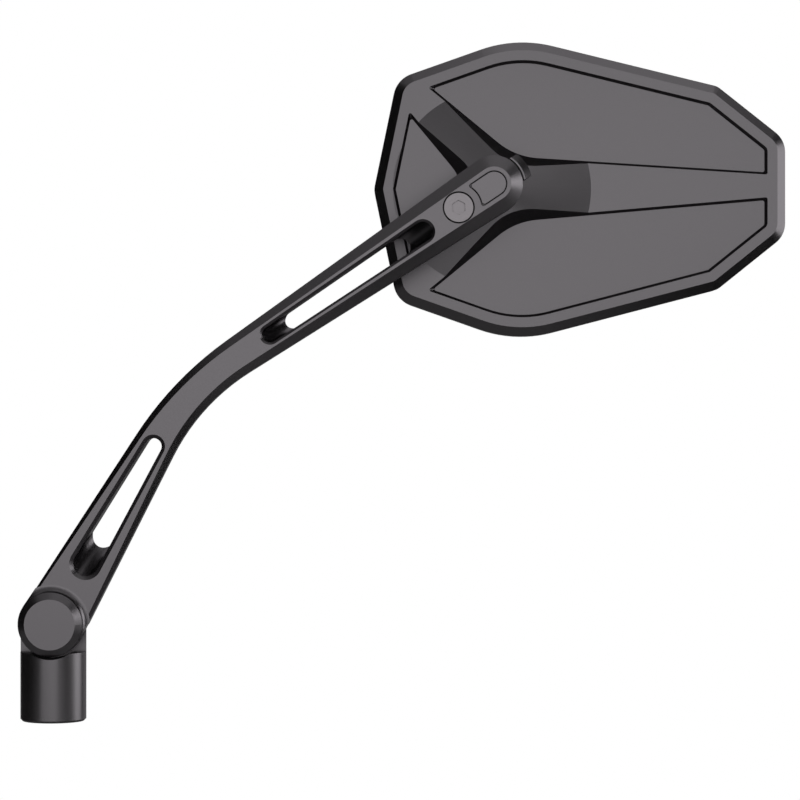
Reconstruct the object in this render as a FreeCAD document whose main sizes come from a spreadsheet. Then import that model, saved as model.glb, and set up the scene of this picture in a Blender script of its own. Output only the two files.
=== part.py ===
"""Motorcycle mirror: a threaded base post, a bent milled arm and a housing on a ball joint.

Millimetres. The origin is the middle of the post's bottom face, +Z runs up the post, +X towards the
head, and -Y is the side away from the glass.
"""
import FreeCAD, Part
import math
import os
import re
import Sketcher
from FreeCAD import Placement, Rotation, Vector

SIZES = [
    # Base post
    ("base_radius", 10.25, "post radius"),
    ("base_edge", 0.7, "chamfer round the post's foot"),
    ("ledge_drop", 9.1, "ledge in front of the lug, below the pivot"),
    ("pivot_height", 30.6, "height of the arm's pivot"),
    ("lug_thickness", 4.0, "lug, from its flat to the shelf behind it"),
    ("shelf_rise", 0.7, "shelf behind the lug, above the pivot"),
    ("mount_bore", 4.375, "radius of the tapped bore in the foot"),
    ("mount_depth", 14.0, "full depth of the tapped bore"),
    ("mount_mouth", 0.8, "chamfer at the bore's mouth"),
    ("drill_point", 2.4, "length of the drill's cone at the bore's end"),
    # Pivot
    ("pivot_screw_radius", 4.0, "pivot screw, shank"),
    ("pivot_head_radius", 6.0, "pivot screw, head"),
    ("pivot_head_height", 4.2, "pivot screw, head"),
    ("pivot_socket", 5.0, "pivot screw, hexagon across flats"),
    ("pivot_socket_depth", 2.4, "pivot screw, hexagon depth"),
    ("pivot_grip", 7.6, "length of screw inside the arm's boss"),
    ("counterbore_clearance", 0.4, "round the pivot screw's head"),
    ("running_clearance", 0.06, "shaft in its hole"),
    ("tap_clearance", 0.02, "screw in its thread"),
    ("friction_washer_radius", 8.6, "friction washer, outside"),
    ("friction_washer_thickness", 0.5, "friction washer"),
    ("washer_clearance", 0.25, "washer's hole round its screw"),
    ("spring_washer_radius", 5.8, "cone washer, outside"),
    ("spring_washer_thickness", 0.7, "cone washer, sheet"),
    ("spring_washer_rise", 0.25, "cone washer, height of the cone"),
    ("sliding_gap", 0.05, "between flat faces that slide"),
    # Arm
    ("arm_front", 7.5, "arm's front face, in front of the lug's flat"),
    ("arm_thickness", 12.0, "arm, front face to back face"),
    ("arm_edge_depth", 2.6, "depth of the chamfer along the arm"),
    ("foot_radius", 10.1, "arm's outline round the pivot"),
    ("foot_edge", 0.9, "chamfer's width at the pivot"),
    ("elbow_x", 41.55, "where the arm's two centre lines meet"),
    ("elbow_z", 102.7, "where the arm's two centre lines meet"),
    ("elbow_half_width", 5.45, "half width of both stretches at the elbow"),
    ("elbow_edge", 2.1, "chamfer's width at the elbow"),
    ("elbow_outer_radius", 109.0, "bend on the elbow's outer side"),
    ("elbow_inner_radius", 66.0, "bend on the elbow's inner side"),
    ("tip_radius", 9.0, "arm's outline round the ball"),
    ("tip_edge", 3.7, "chamfer's width at the ball"),
    ("boss_radius", 9.95, "round boss on the pivot"),
    ("boss_rise", 3.8, "boss, above the arm's front face"),
    ("boss_edge", 2.1, "boss chamfer, width"),
    ("boss_edge_depth", 1.8, "boss chamfer, depth"),
    ("boss_cove", 2.0, "hollow round the boss, height"),
    ("boss_cove_spread", 2.2, "hollow round the boss, width"),
    ("boss_clearance", 0.95, "round the boss in the post's ledge"),
    ("nest_clearance", 0.75, "round the lug in the arm's back"),
    # Slots, as distances from the pivot or the ball along the arm's centre lines
    ("lower_slot_start", 21.6, "lower slot's first end, from the pivot"),
    ("lower_slot_end", 63.6, "lower slot's second end, from the pivot"),
    ("lower_slot_start_radius", 3.9, "lower slot, radius of its first end"),
    ("lower_slot_end_radius", 2.55, "lower slot, radius of its second end"),
    ("lower_slot_edge", 1.15, "lower slot, chamfer"),
    ("upper_slot_start", 26.7, "upper slot's first end, from the ball"),
    ("upper_slot_end", 83.8, "upper slot's second end, from the ball"),
    ("upper_slot_start_radius", 3.15, "upper slot, radius of its first end"),
    ("upper_slot_end_radius", 2.5, "upper slot, radius of its second end"),
    ("upper_slot_edge", 0.75, "upper slot, chamfer"),
    ("lower_slot_ramp", 9.5, "lower slot, length of the sloping floor at its first end"),
    ("upper_slot_ramp", 8.2, "upper slot, length of the sloping floor at its ends"),
    ("ramp_wall", 2.4, "wall above the sloping floor"),
    ("ramp_spread", 0.25, "hollow of the sloping floor beyond the slot's radius"),
    # Ball joint
    ("head_x", 137.5, "ball's distance from the post's axis"),
    ("head_z", 167.2, "ball's height"),
    ("ball_back", 0.8, "ball's centre, behind the lug's flat"),
    ("ball_radius", 4.7, "ball"),
    ("ball_flat", 3.4, "flat on the ball's front, from its centre"),
    ("ball_clearance", 0.25, "between ball, seat and sockets"),
    ("seat_thickness", 1.05, "plastic seat's wall"),
    ("seat_front", 3.6, "seat, in front of the ball's centre"),
    ("seat_rear", 2.9, "seat, behind the ball's centre"),
    ("seat_facet", 22.5, "half the angle from one face of the seat to the next, degrees"),
    ("neck_radius", 2.75, "ball stud's neck"),
    ("collar_radius", 4.6, "ball stud's collar"),
    ("collar_thickness", 1.2, "ball stud's collar"),
    ("stud_radius", 3.0, "ball stud's thread"),
    ("stud_nut_flats", 10.0, "stud nut across its flats"),
    ("stud_nut_height", 4.2, "stud nut"),
    ("stud_washer_radius", 6.0, "stud washer, outside"),
    ("stud_washer_thickness", 1.0, "stud washer"),
    ("nut_clearance", 1.0, "round the stud washer in its pocket"),
    ("stud_end", 0.4, "stud's end beyond its nut"),
    # Clamp
    ("clamp_front", 1.6, "clamp plate's seat, behind the lug's flat"),
    ("clamp_gap", 0.25, "between the clamp plate and the arm"),
    ("clamp_length", 20.5, "clamp plate, from the ball towards the elbow"),
    ("clamp_screw_place", 13.25, "clamp screw, from the ball"),
    ("clamp_screw_radius", 2.5, "clamp screw, shank"),
    ("clamp_head_radius", 4.5, "clamp screw, head"),
    ("clamp_head_height", 3.2, "clamp screw, head"),
    ("clamp_head_clearance", 0.5, "round the clamp screw's head"),
    ("clamp_socket", 4.0, "clamp screw, hexagon across flats"),
    ("clamp_socket_depth", 0.8, "clamp screw, hexagon depth"),
    ("lip_inner_radius", 9.6, "clamp plate's lip, inside"),
    ("lip_outer_radius", 12.3, "clamp plate's lip, outside"),
    ("lip_width", 8.0, "clamp plate's lip"),
    ("lip_rise", 4.4, "lip, in front of the clamp plate's seat"),
    ("lip_edge", 0.5, "lip's front edge, thickness"),
    ("lip_slope", 3.0, "depth of the slope outside the lip"),
    ("inlay_radius", 3.65, "inlay's round end"),
    ("inlay_thickness", 1.3, "inlay"),
    ("inlay_gap", 0.45, "round the inlay"),
    ("inlay_corner", 0.8, "inlay's corners beside the screw"),
    ("inlay_screw_margin", 2.45, "inlay's hollow end, beyond the screw's counterbore"),
    # Head housing, from the ball's axis
    ("head_left", 37.5, "outline, left corner"),
    ("head_left_round", 6.0, "outline, left corner"),
    ("shoulder_x", 30.2, "outline, shoulder corner, to the left"),
    ("shoulder_z", 35.2, "outline, shoulder corner"),
    ("shoulder_round", 8.5, "outline, shoulder corner"),
    ("peak_x", 7.8, "outline, peak"),
    ("peak_z", 48.6, "outline, peak"),
    ("peak_round", 40.0, "outline, peak"),
    ("flank_x", 72.0, "outline, flank corner"),
    ("flank_z", 32.9, "outline, flank corner"),
    ("flank_low_z", 31.9, "outline, lower flank corner"),
    ("flank_round", 5.0, "outline, flank corner"),
    ("nose_x", 93.6, "outline, right end"),
    ("nose_z", 15.8, "outline, right end"),
    ("nose_low_z", 14.6, "outline, right end, lower corner"),
    ("nose_round", 8.0, "outline, right end"),
    ("hub_back", 8.7, "hub's flat, behind the lug's flat"),
    ("hub_radius", 8.6, "hub's flat"),
    ("cone_radius", 31.5, "foot of the hub's cone"),
    ("cone_rise", 7.0, "hub's flat above the rim"),
    ("head_edge", 2.85, "rim chamfer, width"),
    ("head_edge_depth", 3.3, "rim chamfer, depth"),
    ("head_depth", 12.0, "housing, rim to back"),
    ("rim_land", 3.15, "flat of the rim, chamfer to pocket"),
    ("pocket_depth", 1.8, "pockets, below the rim"),
    ("pocket_draft", 24.5, "slope of the pockets' walls, degrees"),
    ("pocket_corner", 0.7, "pockets' corners beside the legs"),
    ("pocket_lap", 0.15, "pockets' rounded corners, in front of the rim"),
    ("leg_root_x", 7.5, "corner between the right leg and the left ones"),
    ("leg_root_z", 10.35, "corner between the right leg and the left ones"),
    ("leg_root_round", 22.0, "corner between the right leg and the left ones"),
    ("leg_end_x", 95.0, "right leg's end"),
    ("leg_end_z", 4.9, "right leg's upper edge at its end"),
    ("leg_end_low_z", 2.85, "right leg's lower edge at its end"),
    ("fork_x", 6.8, "corner between the left legs, to the left"),
    ("fork_round", 11.0, "corner between the left legs"),
    ("fork_end_x", 42.75, "left legs' inner edge, far end"),
    ("fork_end_z", 43.4, "left legs' inner edge, far end"),
    ("branch_end_x", 44.0, "left legs' outer edge, far end"),
    ("branch_end_z", 52.8, "left legs' outer edge, far end"),
    # Glass
    ("glass_recess", 4.6, "recess for the glass in the housing's back"),
    ("glass_lip", 1.6, "housing's wall round the glass"),
    ("glass_gap", 0.4, "round the glass and its pad"),
    ("pad_thickness", 1.0, "foam pad"),
    ("glass_middle", 3.4, "glass, thickness in the middle"),
    ("glass_curve", 1200.0, "radius of the glass's convex face"),
    ("spare", 1.0, "how far cutting shapes run past the surface"),
]

WORKED = [
    ("base_top", "pivot_height + base_radius", "top of the lug"),
    ("ledge_height", "pivot_height - ledge_drop", "ledge in front of the lug"),
    ("shelf_height", "pivot_height + shelf_rise", "shelf behind the lug"),
    ("bore_end", "mount_depth + drill_point", "tip of the drill's cone"),
    ("base_foot", "base_radius - base_edge", "foot's flat"),
    ("mount_mouth_radius", "mount_bore + mount_mouth", "bore's mouth"),
    ("base_span", "2 * base_radius + 2 * spare", "width of a cut across the post"),
    ("base_side", "-base_radius - spare", "where such a cut starts"),
    ("boss_pocket_radius", "boss_radius + boss_clearance", "round pocket in the ledge"),
    ("counterbore_radius", "pivot_head_radius + counterbore_clearance", "behind the lug"),
    ("pivot_hole", "pivot_screw_radius + running_clearance", "hole in the lug"),
    ("pivot_tap", "pivot_screw_radius + tap_clearance", "thread in the boss"),
    ("nest_radius", "base_radius + nest_clearance", "hollow in the arm's back round the lug"),
    ("boss_back", "-friction_washer_thickness - sliding_gap", "back of the arm's boss"),
    ("pivot_head_seat", "lug_thickness + spring_washer_thickness + spring_washer_rise", "under the head"),
    ("pivot_shank", "pivot_head_seat + sliding_gap - boss_back + pivot_grip", "pivot screw's shank"),
    ("arm_back", "arm_thickness - arm_front", "arm's back face"),
    ("arm_middle", "arm_thickness / 2 - arm_front", "arm's middle plane"),
    ("arm_edge_y", "arm_edge_depth - arm_front", "where the front chamfer starts"),
    ("arm_wall", "arm_thickness / 2 - arm_edge_depth", "half the arm's straight side"),
    ("foot_flat", "foot_radius - foot_edge", "front face round the pivot"),
    ("elbow_flat", "elbow_half_width - elbow_edge", "front face at the elbow"),
    ("elbow_outer_flat", "elbow_outer_radius - elbow_edge", "front face, outer bend"),
    ("elbow_inner_flat", "elbow_inner_radius + elbow_edge", "front face, inner bend"),
    ("tip_flat", "tip_radius - tip_edge", "front face round the ball"),
    ("boss_root", "arm_front - arm_edge_depth", "boss starts inside the arm"),
    ("boss_front", "arm_front + boss_rise", "boss face, in front of the lug's flat"),
    ("boss_flat", "boss_radius - boss_edge", "boss face"),
    ("boss_edge_foot", "boss_front - boss_edge_depth", "foot of the boss chamfer"),
    ("cove_top", "arm_front + boss_cove", "top of the hollow round the boss"),
    ("cove_radius", "boss_radius + boss_cove_spread", "foot of the hollow round the boss"),
    ("cove_tube", "(boss_cove_spread * boss_cove_spread + boss_cove * boss_cove) / (2 * boss_cove)",
     "radius of the hollow round the boss"),
    ("cut_length", "arm_thickness + 2 * boss_front", "cuts through the arm"),
    ("seat_inner", "ball_radius + ball_clearance", "seat, inside"),
    ("seat_inner_corner", "seat_inner * tan(seat_facet * 1deg)", "seat, half of its inside band"),
    ("seat_outer", "seat_inner + seat_thickness", "seat, its outside corners"),
    ("seat_band", "seat_outer * cos(seat_facet * 1deg)", "seat, its outside band"),
    ("seat_band_half", "seat_outer * sin(seat_facet * 1deg)", "seat, half of its outside band"),
    ("socket_radius", "seat_outer + ball_clearance", "sockets in the arm and the clamp plate"),
    ("socket_corner", "socket_radius * tan(seat_facet * 1deg)", "sockets, half of their band"),
    ("clamp_seat", "clamp_front + clamp_gap", "clamp plate's front face"),
    ("clamp_hole", "clamp_screw_radius + running_clearance", "clamp screw's hole in the arm"),
    ("clamp_counterbore", "clamp_head_radius + clamp_head_clearance", "round the clamp screw's head"),
    ("clamp_cut_length", "clamp_length + clamp_gap", "room for the clamp plate in the arm"),
    ("clamp_tap", "clamp_screw_radius + tap_clearance", "thread in the clamp plate"),
    ("clamp_shank", "arm_back + arm_front - clamp_head_height", "clamp screw's shank"),
    ("lip_front", "clamp_seat - lip_rise", "lip's front edge"),
    ("lip_edge_radius", "lip_inner_radius + lip_edge", "outside of the lip's front edge"),
    ("lip_root", "lip_front - arm_back", "lip's back, from its front edge"),
    ("inlay_recess_radius", "inlay_radius + inlay_gap", "recess for the inlay"),
    ("inlay_hollow", "clamp_counterbore + inlay_screw_margin", "inlay's hollow end"),
    ("inlay_recess_hollow", "inlay_hollow - inlay_gap", "recess for the inlay"),
    ("rim_y", "hub_back + cone_rise", "rim plane"),
    ("head_edge_y", "rim_y + head_edge_depth", "foot of the rim chamfer"),
    ("head_side", "head_depth - head_edge_depth", "straight side of the housing"),
    ("head_back", "rim_y + head_depth", "back of the housing"),
    ("pocket_floor", "rim_y + pocket_depth", "pocket floors"),
    ("pocket_inset", "head_edge + rim_land + pocket_depth * tan(pocket_draft * 1deg)", "pocket floors"),
    ("pocket_reach", "pocket_depth + cone_rise + spare / 4", "height of the pocket cutters"),
    ("pocket_split", "rim_y - pocket_lap", "where the pockets' rounded corners end"),
    ("recess_floor", "head_back - glass_recess", "floor of the glass recess"),
    ("pad_inset", "glass_lip + glass_gap", "pad and glass, inside the outline"),
    ("glass_front", "recess_floor + pad_thickness", "glass on its pad"),
    ("glass_centre", "glass_front + glass_middle - glass_curve", "middle of the glass's curve"),
    ("glass_x", "head_x + (nose_x - head_left) / 2", "middle of the glass"),
    ("nut_pocket_radius", "stud_washer_radius + nut_clearance", "pocket round the stud nut"),
    ("nut_stack", "stud_washer_thickness + stud_nut_height + stud_end", "washer, nut and stud's end"),
    ("nut_floor", "recess_floor - nut_stack - sliding_gap", "seat of the stud washer"),
    ("nut_pocket_depth", "recess_floor - nut_floor + spare", "pocket round the stud nut"),
    ("stud_hole", "stud_radius + tap_clearance", "stud's hole in the hub"),
    ("stud_length", "nut_floor + nut_stack - hub_back", "stud, from its collar"),
    ("neck_length", "hub_back - collar_thickness - ball_back", "ball's centre to the collar"),
    ("collar_end", "neck_length + collar_thickness", "collar's seat, from the ball's centre"),
    ("stem_length", "collar_end + stud_length", "stud's end, from the ball's centre"),
]

doc = FreeCAD.newDocument("MotorcycleMirror")
sizes = doc.addObject("Spreadsheet::Sheet", "Sizes")
worked = doc.addObject("Spreadsheet::Sheet", "Worked")
OWNER = {}

TOWARDS_VIEWER = Rotation(Vector(1, 0, 0), 90)
AWAY_FROM_VIEWER = Rotation(Vector(1, 0, 0), -90)
# A ramp's cutting shape starts this many ramp lengths before the ramp and is this many long
RAMP_LEAD = 3
RAMP_REACH = 12
# Two lengths closer than this are the same
TOUCH = 1e-4
# Faces that turn by more than this angle meet at a sharp edge
SHARP = math.radians(45)


def fill_sheets():
    """Write the driving sizes as plain numbers and what follows from them as formulas."""
    for row, (alias, number, note) in enumerate(SIZES, start=1):
        sizes.set(f"A{row}", note)
        sizes.set(f"B{row}", str(number))
        sizes.setAlias(f"B{row}", alias)
        OWNER[alias] = sizes
    doc.recompute()
    for row, (alias, formula, note) in enumerate(WORKED, start=1):
        worked.set(f"A{row}", note)
        worked.set(f"B{row}", "=" + linked(formula))
        worked.setAlias(f"B{row}", alias)
        OWNER[alias] = worked
    doc.recompute()


def linked(formula):
    """The formula with every alias led by the name of its sheet."""
    return re.sub(r"[A-Za-z_]\w*", lambda found: cell(found.group()), formula)


def cell(word):
    return f"{OWNER[word].Name}.{word}" if word in OWNER else word


def amount(formula):
    """The number that a sum of cells and plain numbers stands for, such as "-base_radius - spare"."""
    total = 0.0
    for sign, word in re.findall(r"([+-]?)\s*([\w.]+)", formula):
        number = float(OWNER[word].get(word)) if word in OWNER else float(word)
        total += -number if sign == "-" else number
    return total


def bind(thing, **bindings):
    """Tie properties to cells: bind(cylinder, Radius="base_radius")."""
    for prop, formula in bindings.items():
        thing.setExpression(prop, linked(formula))
    return thing


def place(thing, x="0", y="0", z="0", turn=Rotation()):
    """Put an object at a place that is read from the cells."""
    thing.Placement = Placement(Vector(amount(x), amount(y), amount(z)), turn)
    for axis, formula in (("x", x), ("y", y), ("z", z)):
        if formula != "0":
            thing.setExpression(f"Placement.Base.{axis}", linked(formula))
    return thing


def along_arm(start, end, depth):
    """A frame on one of the arm's centre lines: x runs along it, z faces the viewer."""
    (start_x, start_z), (end_x, end_z) = start, end
    slope = math.degrees(math.atan2(end_z - start_z, end_x - start_x))
    return Placement(Vector(start_x, depth, start_z), Rotation(Vector(0, -1, 0), slope) * TOWARDS_VIEWER)


# Sketches


def new_sketch(name, owner=None, plane="XZ_Plane"):
    if owner is None:
        return doc.addObject("Sketcher::SketchObject", name)
    sketch = owner.newObject("Sketcher::SketchObject", name)
    planes = [feature for feature in owner.Origin.OriginFeatures if feature.Role == plane]
    sketch.AttachmentSupport = [(planes[0], "")]
    sketch.MapMode = "FlatFace"
    return sketch


def dimension(sketch, kind, formula, *where):
    """A driving dimension of a sketch, tied to a cell."""
    index = sketch.addConstraint(Sketcher.Constraint(kind, *where, amount(formula)))
    sketch.setExpression(f"Constraints[{index}]", linked(formula))


def fix_point(sketch, geometry, position, x, y):
    """Hold a point of a sketch at x, y."""
    for kind, formula, axis in (("DistanceX", x, -2), ("DistanceY", y, -1)):
        if formula == "0":
            sketch.addConstraint(Sketcher.Constraint("PointOnObject", geometry, position, axis))
        else:
            dimension(sketch, kind, formula, -1, 1, geometry, position)


def polygon_sketch(sketch, corners):
    """A closed outline through corners (x, y)."""
    points = [Vector(amount(x), amount(y), 0) for x, y in corners]
    count = len(points)
    for here in range(count):
        sketch.addGeometry(Part.LineSegment(points[here], points[(here + 1) % count]), False)
    for here in range(count):
        sketch.addConstraint(Sketcher.Constraint("Coincident", here, 2, (here + 1) % count, 1))
    for here, (x, y) in enumerate(corners):
        fix_point(sketch, here, 1, x, y)
    return sketch


def corner_arc(before, corner, after, radius):
    """The arc that rounds a corner, its two ends in order, and whether it turns left."""
    into = (corner - before).normalize()
    out = (after - corner).normalize()
    turn = math.atan2(into.x * out.y - into.y * out.x, into.dot(out))
    reach = radius * math.tan(abs(turn) / 2)
    start = corner - into * reach
    end = corner + out * reach
    side = 1 if turn > 0 else -1
    centre = start + Vector(-into.y, into.x, 0) * radius * side
    middle = centre + (corner - centre).normalize() * radius
    return Part.Arc(start, middle, end), start, end, turn > 0


def join(sketch, line_before, arc, line_after, turns_left):
    """Make an arc tangent to the lines on both sides of it."""
    first, last = (1, 2) if turns_left else (2, 1)
    sketch.addConstraint(Sketcher.Constraint("Tangent", line_before, 2, arc, first))
    sketch.addConstraint(Sketcher.Constraint("Tangent", arc, last, line_after, 1))


def rounded_sketch(sketch, corners):
    """A closed outline, counterclockwise, through corners (x, y, radius); a radius of 0 is sharp."""
    points = [Vector(amount(x), amount(y), 0) for x, y, _ in corners]
    count = len(points)
    rounds = []
    for here, (_, _, radius) in enumerate(corners):
        if radius == "0":
            rounds.append((None, points[here], points[here], True))
        else:
            after = points[(here + 1) % count]
            rounds.append(corner_arc(points[here - 1], points[here], after, amount(radius)))
    for here in range(count):
        ahead = (here + 1) % count
        sketch.addGeometry(Part.LineSegment(rounds[here][2], rounds[ahead][1]), False)
    for here, (x, y, radius) in enumerate(corners):
        line_before = (here - 1) % count
        arc, _, _, turns_left = rounds[here]
        if arc is None:
            sketch.addConstraint(Sketcher.Constraint("Coincident", line_before, 2, here, 1))
            fix_point(sketch, here, 1, x, y)
            continue
        round_index = sketch.addGeometry(arc.toShape().Curve.trim(*arc.toShape().ParameterRange), False)
        join(sketch, line_before, round_index, here, turns_left)
        dimension(sketch, "Radius", radius, round_index)
        corner_index = sketch.addGeometry(Part.Point(points[here]), True)
        fix_point(sketch, corner_index, 1, x, y)
        sketch.addConstraint(Sketcher.Constraint("PointOnObject", corner_index, 1, line_before))
        sketch.addConstraint(Sketcher.Constraint("PointOnObject", corner_index, 1, here))
    return sketch


def tangent_line(first, first_radius, second, second_radius):
    """The line that keeps two circles on its left: its ends on the circles."""
    across = second - first
    lean = math.asin((first_radius - second_radius) / across.Length)
    heading = math.atan2(across.y, across.x) + lean
    outward = Vector(math.sin(heading), -math.cos(heading), 0)
    return first + outward * first_radius, second + outward * second_radius


def arc_between(centre, start, end):
    """Counterclockwise arc about a centre."""
    circle = Part.Circle(centre, Vector(0, 0, 1), (start - centre).Length)
    first = math.atan2(start.y - centre.y, start.x - centre.x)
    last = math.atan2(end.y - centre.y, end.x - centre.x)
    return Part.ArcOfCircle(circle, first, last if last > first else last + 2 * math.pi)


def slot_sketch(name, frame, start, start_radius, end, end_radius):
    """A slot along x between two round ends."""
    sketch = new_sketch(name)
    sketch.Placement = frame
    first = Vector(amount(start), 0, 0)
    second = Vector(amount(end), 0, 0)
    low_start, low_end = tangent_line(first, amount(start_radius), second, amount(end_radius))
    high_start, high_end = tangent_line(second, amount(end_radius), first, amount(start_radius))
    sketch.addGeometry(Part.LineSegment(low_start, low_end), False)
    sketch.addGeometry(Part.LineSegment(high_start, high_end), False)
    far = sketch.addGeometry(arc_between(second, low_end, high_start), False)
    near = sketch.addGeometry(arc_between(first, high_end, low_start), False)
    join(sketch, 0, far, 1, True)
    join(sketch, 1, near, 0, True)
    for arc, centre, radius in ((far, end, end_radius), (near, start, start_radius)):
        fix_point(sketch, arc, 3, centre, "0")
        dimension(sketch, "Radius", radius, arc)
    return sketch


def meeting(line, other):
    """Where two lines, given by their ends, cross."""
    along = line[1] - line[0]
    across = other[1] - other[0]
    gap = other[0] - line[0]
    share = (gap.x * across.y - gap.y * across.x) / (along.x * across.y - along.y * across.x)
    return line[0] + along * share


def arm_sketch(name, depth, foot, elbow, outer_bend, inner_bend, tip):
    """The arm's outline, counterclockwise: round foot, inner side, round tip, outer side."""
    sketch = place(new_sketch(name), y=depth, turn=TOWARDS_VIEWER)
    pivot = Vector(0, amount("pivot_height"), 0)
    knee = Vector(amount("elbow_x"), amount("elbow_z"), 0)
    ball = Vector(amount("head_x"), amount("head_z"), 0)
    foot_size, elbow_size, tip_size = amount(foot), amount(elbow), amount(tip)
    rising = tangent_line(pivot, foot_size, knee, elbow_size)
    reaching = tangent_line(knee, elbow_size, ball, tip_size)
    returning = tangent_line(ball, tip_size, knee, elbow_size)
    falling = tangent_line(knee, elbow_size, pivot, foot_size)
    inner, inner_start, inner_end, inner_left = corner_arc(
        rising[0], meeting(rising, reaching), reaching[1], amount(inner_bend))
    outer, outer_start, outer_end, outer_left = corner_arc(
        returning[0], meeting(returning, falling), falling[1], amount(outer_bend))
    for start, end in ((rising[0], inner_start), (inner_end, reaching[1]),
                       (returning[0], outer_start), (outer_end, falling[1])):
        sketch.addGeometry(Part.LineSegment(start, end), False)
    inner_arc = sketch.addGeometry(inner.toShape().Curve.trim(*inner.toShape().ParameterRange), False)
    tip_arc = sketch.addGeometry(arc_between(ball, reaching[1], returning[0]), False)
    outer_arc = sketch.addGeometry(outer.toShape().Curve.trim(*outer.toShape().ParameterRange), False)
    foot_arc = sketch.addGeometry(arc_between(pivot, falling[1], rising[0]), False)
    knee_circle = sketch.addGeometry(Part.Circle(knee, Vector(0, 0, 1), elbow_size), True)
    join(sketch, 0, inner_arc, 1, inner_left)
    join(sketch, 1, tip_arc, 2, True)
    join(sketch, 2, outer_arc, 3, outer_left)
    join(sketch, 3, foot_arc, 0, True)
    fix_point(sketch, foot_arc, 3, "0", "pivot_height")
    fix_point(sketch, tip_arc, 3, "head_x", "head_z")
    fix_point(sketch, knee_circle, 3, "elbow_x", "elbow_z")
    for line in range(4):
        sketch.addConstraint(Sketcher.Constraint("Tangent", line, knee_circle))
    for arc, radius in ((foot_arc, foot), (tip_arc, tip), (knee_circle, elbow),
                        (inner_arc, inner_bend), (outer_arc, outer_bend)):
        dimension(sketch, "Radius", radius, arc)
    return sketch


def head_sketch(name, depth):
    """The housing's outline, counterclockwise from its left corner."""
    corners = [
        ("-head_left", "0", "head_left_round"),
        ("-shoulder_x", "-shoulder_z", "shoulder_round"),
        ("peak_x", "-peak_z", "peak_round"),
        ("flank_x", "-flank_low_z", "flank_round"),
        ("nose_x", "-nose_low_z", "nose_round"),
        ("nose_x", "nose_z", "nose_round"),
        ("flank_x", "flank_z", "flank_round"),
        ("peak_x", "peak_z", "peak_round"),
        ("-shoulder_x", "shoulder_z", "shoulder_round"),
    ]
    sketch = place(new_sketch(name), "head_x", depth, "head_z", TOWARDS_VIEWER)
    return rounded_sketch(sketch, corners)


def leg_edges():
    """Outlines of the three spaces between the legs, counterclockwise, past the housing's edge."""
    return {
        "upper": [("leg_end_x", "leg_end_z", "0"), ("leg_end_x", "branch_end_z", "0"),
                  ("-branch_end_x", "branch_end_z", "0"), ("leg_root_x", "leg_root_z", "leg_root_round")],
        "lower": [("leg_root_x", "-leg_root_z", "leg_root_round"), ("-branch_end_x", "-branch_end_z", "0"),
                  ("leg_end_x", "-branch_end_z", "0"), ("leg_end_x", "-leg_end_low_z", "0")],
        "left": [("-fork_x", "0", "fork_round"), ("-fork_end_x", "fork_end_z", "0"),
                 ("-fork_end_x", "-fork_end_z", "0")],
    }


# Solids


def extrude(name, sketch, forward="0", back="0", taper="0", rear_taper="0"):
    """A prism on a sketch: forward is towards the viewer."""
    prism = doc.addObject("Part::Extrusion", name)
    prism.Base = sketch
    prism.DirMode = "Normal"
    prism.Solid = True
    for prop, formula in (("LengthFwd", forward), ("LengthRev", back),
                          ("TaperAngle", taper), ("TaperAngleRev", rear_taper)):
        if formula != "0":
            prism.setExpression(prop, linked(formula))
    return prism


def cylinder(name, radius, height, x, y, z, turn=TOWARDS_VIEWER):
    return place(bind(doc.addObject("Part::Cylinder", name), Radius=radius, Height=height), x, y, z, turn)


def box(name, length, width, height, x, y, z):
    block = bind(doc.addObject("Part::Box", name), Length=length, Width=width, Height=height)
    return place(block, x, y, z)


def sphere(name, radius, x, y, z):
    return place(bind(doc.addObject("Part::Sphere", name), Radius=radius), x, y, z)


def hexagon(name, flats, height):
    """A hexagon bar; its size is given across the flats."""
    bar = bind(doc.addObject("Part::Prism", name), Circumradius=f"{flats} / sqrt(3)", Height=height)
    bar.Polygon = 6
    return bar


def fuse(name, *shapes):
    union = doc.addObject("Part::MultiFuse", name)
    union.Shapes = list(shapes)
    return union


def common(name, *shapes):
    overlap = doc.addObject("Part::MultiCommon", name)
    overlap.Shapes = list(shapes)
    return overlap


def cut(name, base, *tools):
    """A solid less one or more cutting shapes, which have to take something off it."""
    result = doc.addObject("Part::Cut", name)
    result.Base = base
    result.Tool = tools[0] if len(tools) == 1 else fuse(f"{name}_cuts", *tools)
    doc.recompute()
    if result.Shape.isNull() or result.Shape.Volume >= base.Shape.Volume:
        raise ValueError(f"{name}: nothing was cut")
    return result


def turned(name, profile, x="0", y="0", z="0", turn=TOWARDS_VIEWER):
    """A turned piece: the profile's points are radius and height along the axis."""
    body = doc.addObject("PartDesign::Body", name)
    sketch = polygon_sketch(new_sketch(f"{name}_profile", body), profile)
    revolution = body.newObject("PartDesign::Revolution", f"{name}_turning")
    revolution.Profile = sketch
    revolution.ReferenceAxis = (sketch, ["V_Axis"])
    revolution.Angle = 360
    return place(body, x, y, z, turn)


fill_sheets()

pivot_place = (0.0, amount("pivot_height"))
elbow_place = (amount("elbow_x"), amount("elbow_z"))
ball_place = (amount("head_x"), amount("head_z"))


# Base post: a turned post, milled to a lug with a ledge in front and a shelf behind


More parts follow.
